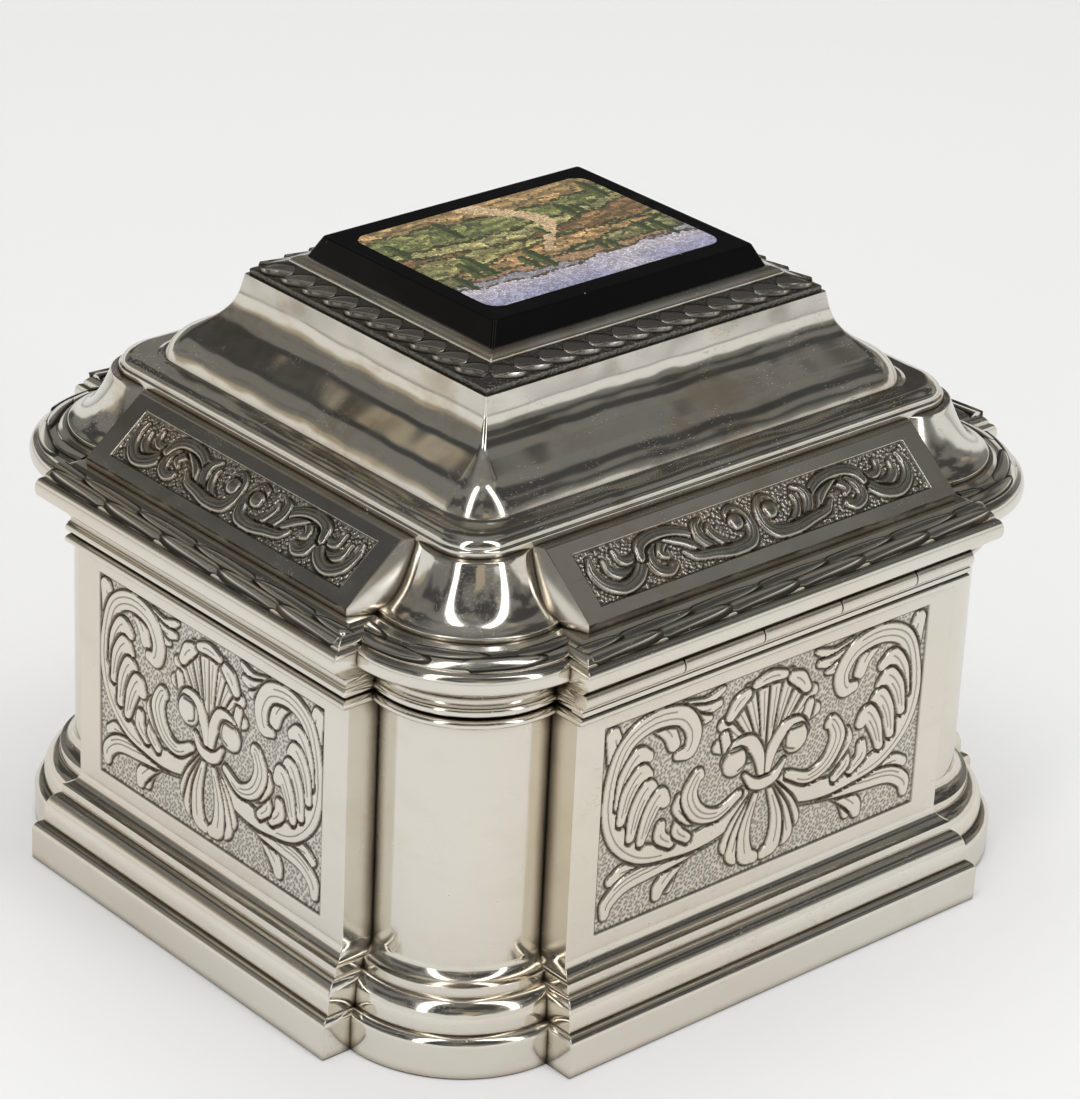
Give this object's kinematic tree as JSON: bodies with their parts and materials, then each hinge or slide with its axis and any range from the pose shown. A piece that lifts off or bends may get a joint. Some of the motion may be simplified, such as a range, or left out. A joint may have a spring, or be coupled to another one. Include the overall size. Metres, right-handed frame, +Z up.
{
  "type": "silver table casket",
  "caption": "Rectangular silver casket with round corner columns, stepped plinth, chased panels and a hinged domed lid topped by a stone plaque.",
  "frame": {"origin": "middle of the underside, on the table", "axes": "+Z up, +X to the right along the hinge, +Y to the back where the hinge is, -Y the front"},
  "size_m": [0.16, 0.1466, 0.1188],
  "materials": {
    "silver": "polished silver with light tarnish in the recesses",
    "silver_shaded": "polished and oxidised silver",
    "silver_hinge": "plain silver, slightly dull",
    "black_stone": "polished black onyx",
    "mosaic": "fine glass tesserae ground flush",
    "velvet": "short velvet",
    "felt": "felt"
  },
  "bodies": {
    "base": {"plinth_right": "silver", "plinth_back": "silver", "plinth_left": "silver", "plinth_front": "silver", "plinth_corner_back_right": "silver", "plinth_corner_back_left": "silver", "plinth_corner_front_left": "silver", "plinth_corner_front_right": "silver", "panel_right": "silver", "panel_back": "silver", "panel_left": "silver", "panel_front": "silver", "column_back_right": "silver", "column_back_left": "silver", "column_front_left": "silver", "column_front_right": "silver", "body_bead": "silver", "bottom_plate": "silver", "base_felt": "felt", "lining_floor": "velvet", "lining_right": "velvet", "lining_back": "velvet", "lining_left": "velvet", "lining_front": "velvet", "lining_corner_back_right": "velvet", "lining_corner_back_left": "velvet", "lining_corner_front_left": "velvet", "lining_corner_front_right": "velvet", "hinge_bearer": "silver_hinge", "hinge_pin": "silver_hinge", "knuckle_1": "silver_hinge", "knuckle_3": "silver_hinge", "knuckle_5": "silver_hinge"},
    "lid": {"knuckle_2": "silver_hinge", "knuckle_4": "silver_hinge", "lid_bead": "silver", "rim_right": "silver", "rim_back": "silver", "rim_left": "silver", "rim_front": "silver", "rim_corner_back_right": "silver", "rim_corner_back_left": "silver", "rim_corner_front_left": "silver", "rim_corner_front_right": "silver", "frieze_right": "silver_shaded", "frieze_back": "silver_shaded", "frieze_left": "silver_shaded", "frieze_front": "silver_shaded", "cove_back_right": "silver_shaded", "cove_back_left": "silver_shaded", "cove_front_left": "silver_shaded", "cove_front_right": "silver_shaded", "dome_collar": "silver", "dome": "silver", "laurel_moulding": "silver_shaded", "stone_bezel": "silver", "stone_slab": "black_stone", "mosaic_inlay": "mosaic", "lid_lining": "velvet"}
  },
  "joints": [
    {"name": "lid_hinge", "type": "hinge", "parent": "base", "child": "lid", "pos_m": [0, 0.067, 0.0694], "axis": [-1, 0, 0], "range_deg": [0, 105]}
  ]
}
